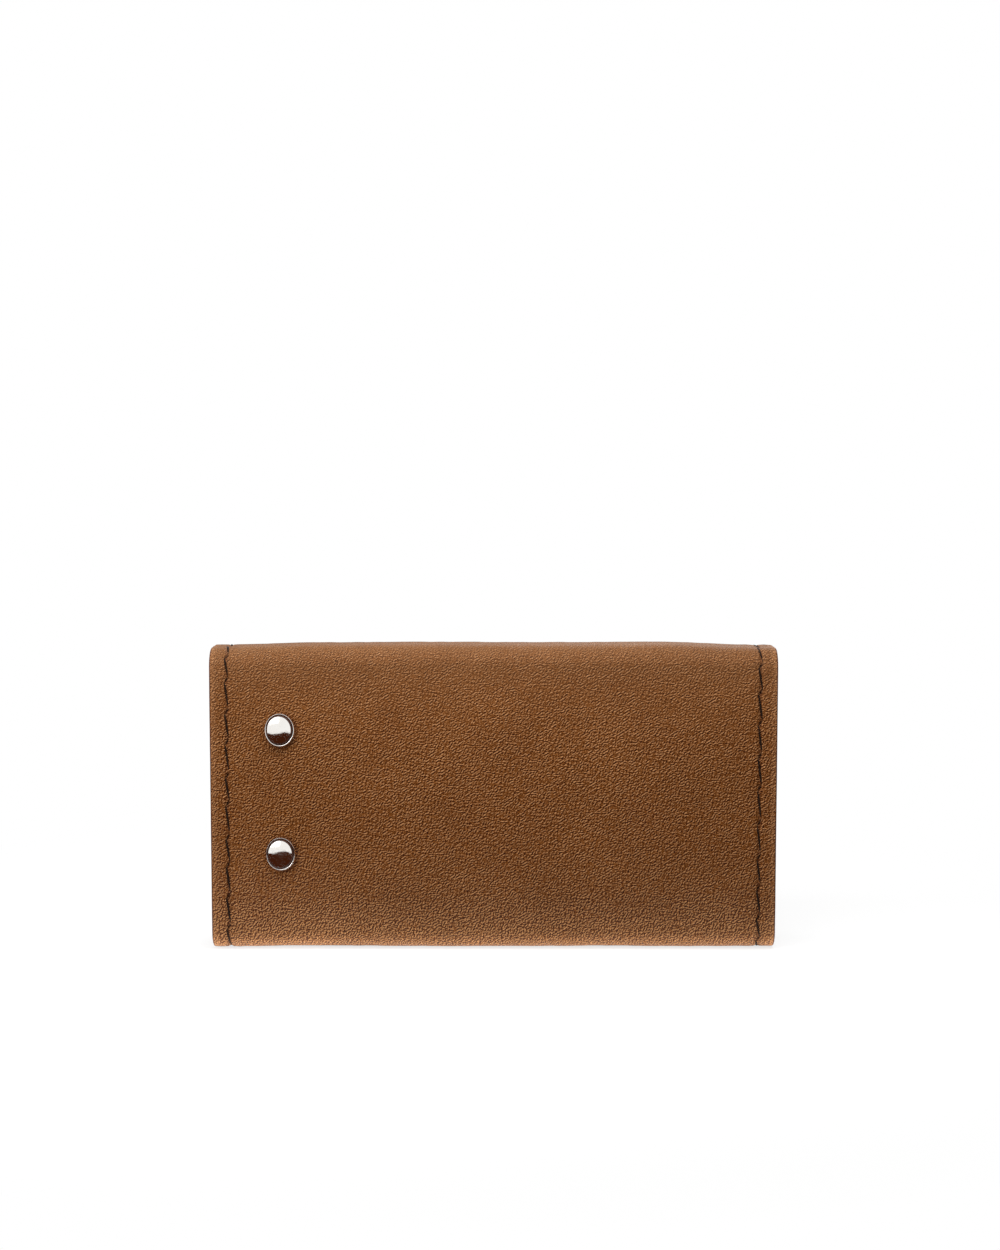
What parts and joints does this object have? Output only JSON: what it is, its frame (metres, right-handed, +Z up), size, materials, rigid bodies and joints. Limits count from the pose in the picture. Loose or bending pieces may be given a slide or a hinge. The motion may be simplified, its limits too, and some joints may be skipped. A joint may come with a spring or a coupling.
{
  "type": "key case",
  "caption": "Folding leather key case, closed by a press stud, with swivelling snap hooks on a metal rail riveted to its back panel.",
  "frame": {"origin": "centre of the closed case's footprint, on the surface that its lower fold stands on", "axes": "+X along the case away from the rail, +Y from the back panel to the front flap, +Z up"},
  "size_m": [0.115, 0.02, 0.0624],
  "materials": {
    "brown_leather": "grained, matte, mid brown",
    "lining_leather": "smooth, matte, darker brown",
    "dark_thread": "twisted thread, nearly black",
    "nickel": "polished nickel plate",
    "satin_steel": "satin"
  },
  "bodies": {
    "back": {"back_leather": "brown_leather", "back_lining": "lining_leather", "back_seam_left": "dark_thread", "back_seam_right": "dark_thread", "key_rail": "satin_steel", "rivet_cap_upper": "nickel", "rivet_cap_lower": "nickel", "rivet_foot_upper": "nickel", "rivet_foot_lower": "nickel", "lower_back_fold_leather": "brown_leather", "lower_back_fold_lining": "lining_leather", "upper_back_fold_leather": "brown_leather", "upper_back_fold_lining": "lining_leather"},
    "lower_spine": {"lower_spine_leather": "brown_leather", "lower_spine_lining": "lining_leather", "lower_front_fold_leather": "brown_leather", "lower_front_fold_lining": "lining_leather", "lower_seam_left": "dark_thread", "lower_seam_right": "dark_thread"},
    "front_flap": {"front_flap_leather": "brown_leather", "front_flap_lining": "lining_leather", "front_flap_seam": "dark_thread", "snap_cap": "nickel", "snap_socket": "nickel"},
    "upper_spine": {"upper_spine_leather": "brown_leather", "upper_spine_lining": "lining_leather", "upper_front_fold_leather": "brown_leather", "upper_front_fold_lining": "lining_leather", "upper_seam_left": "dark_thread", "upper_seam_right": "dark_thread"},
    "inner_flap": {"inner_flap_leather": "brown_leather", "inner_flap_lining": "lining_leather", "inner_flap_seam": "dark_thread", "snap_stud": "nickel", "snap_post": "nickel"},
    "swivel_hook_1": {"hook_1": "nickel", "gate_pin_1": "satin_steel"},
    "sprung_gate_1": {"gate_1": "nickel"},
    "swivel_hook_2": {"hook_2": "nickel", "gate_pin_2": "satin_steel"},
    "sprung_gate_2": {"gate_2": "nickel"},
    "swivel_hook_3": {"hook_3": "nickel", "gate_pin_3": "satin_steel"},
    "sprung_gate_3": {"gate_3": "nickel"},
    "swivel_hook_4": {"hook_4": "nickel", "gate_pin_4": "satin_steel"},
    "sprung_gate_4": {"gate_4": "nickel"}
  },
  "joints": [
    {"name": "lower_back_fold", "type": "hinge", "parent": "back", "child": "lower_spine", "pos_m": [0, -0.00664, 0.00178], "axis": [-1, 0, 0], "range_deg": [0, 90], "deforming": ["lower_back_fold_leather", "lower_back_fold_lining", "lower_seam_left", "lower_seam_right"]},
    {"name": "lower_front_fold", "type": "hinge", "parent": "lower_spine", "child": "front_flap", "pos_m": [0, 0.00664, 0.00178], "axis": [-1, 0, 0], "range_deg": [0, 90], "deforming": ["lower_front_fold_leather", "lower_front_fold_lining", "lower_seam_left", "lower_seam_right"]},
    {"name": "upper_back_fold", "type": "hinge", "parent": "back", "child": "upper_spine", "pos_m": [0, -0.00664, 0.06062], "axis": [1, 0, 0], "range_deg": [0, 90], "deforming": ["upper_back_fold_leather", "upper_back_fold_lining", "upper_seam_left", "upper_seam_right"]},
    {"name": "upper_front_fold", "type": "hinge", "parent": "upper_spine", "child": "inner_flap", "pos_m": [0, 0.00329, 0.06062], "axis": [1, 0, 0], "range_deg": [0, 90], "deforming": ["upper_front_fold_leather", "upper_front_fold_lining", "upper_seam_left", "upper_seam_right"]},
    {"name": "hook_1_swivel", "type": "hinge", "parent": "back", "child": "swivel_hook_1", "pos_m": [-0.0371, -0.00168, 0.0191], "axis": [1, 0, 0], "continuous": true},
    {"name": "gate_1_press", "type": "hinge", "parent": "swivel_hook_1", "child": "sprung_gate_1", "pos_m": [-0.0321, -0.00168, 0.0218], "axis": [0, 1, 0], "range_deg": [0, 20], "stiffness_Nm_per_rad": 0.003, "springref_deg": -11.46},
    {"name": "hook_2_swivel", "type": "hinge", "parent": "back", "child": "swivel_hook_2", "pos_m": [-0.0371, -0.00168, 0.0281], "axis": [1, 0, 0], "continuous": true},
    {"name": "gate_2_press", "type": "hinge", "parent": "swivel_hook_2", "child": "sprung_gate_2", "pos_m": [-0.0321, -0.00168, 0.0308], "axis": [0, 1, 0], "range_deg": [0, 20], "stiffness_Nm_per_rad": 0.003, "springref_deg": -11.46},
    {"name": "hook_3_swivel", "type": "hinge", "parent": "back", "child": "swivel_hook_3", "pos_m": [-0.0371, -0.00168, 0.0371], "axis": [1, 0, 0], "continuous": true},
    {"name": "gate_3_press", "type": "hinge", "parent": "swivel_hook_3", "child": "sprung_gate_3", "pos_m": [-0.0321, -0.00168, 0.0398], "axis": [0, 1, 0], "range_deg": [0, 20], "stiffness_Nm_per_rad": 0.003, "springref_deg": -11.46},
    {"name": "hook_4_swivel", "type": "hinge", "parent": "back", "child": "swivel_hook_4", "pos_m": [-0.0371, -0.00168, 0.0461], "axis": [1, 0, 0], "continuous": true},
    {"name": "gate_4_press", "type": "hinge", "parent": "swivel_hook_4", "child": "sprung_gate_4", "pos_m": [-0.0321, -0.00168, 0.0488], "axis": [0, 1, 0], "range_deg": [0, 20], "stiffness_Nm_per_rad": 0.003, "springref_deg": -11.46}
  ],
  "couplings": [
    {"joint": "lower_front_fold", "follows": "lower_back_fold", "ratio": 1},
    {"joint": "upper_back_fold", "follows": "lower_back_fold", "ratio": 1},
    {"joint": "upper_front_fold", "follows": "lower_back_fold", "ratio": 1}
  ]
}
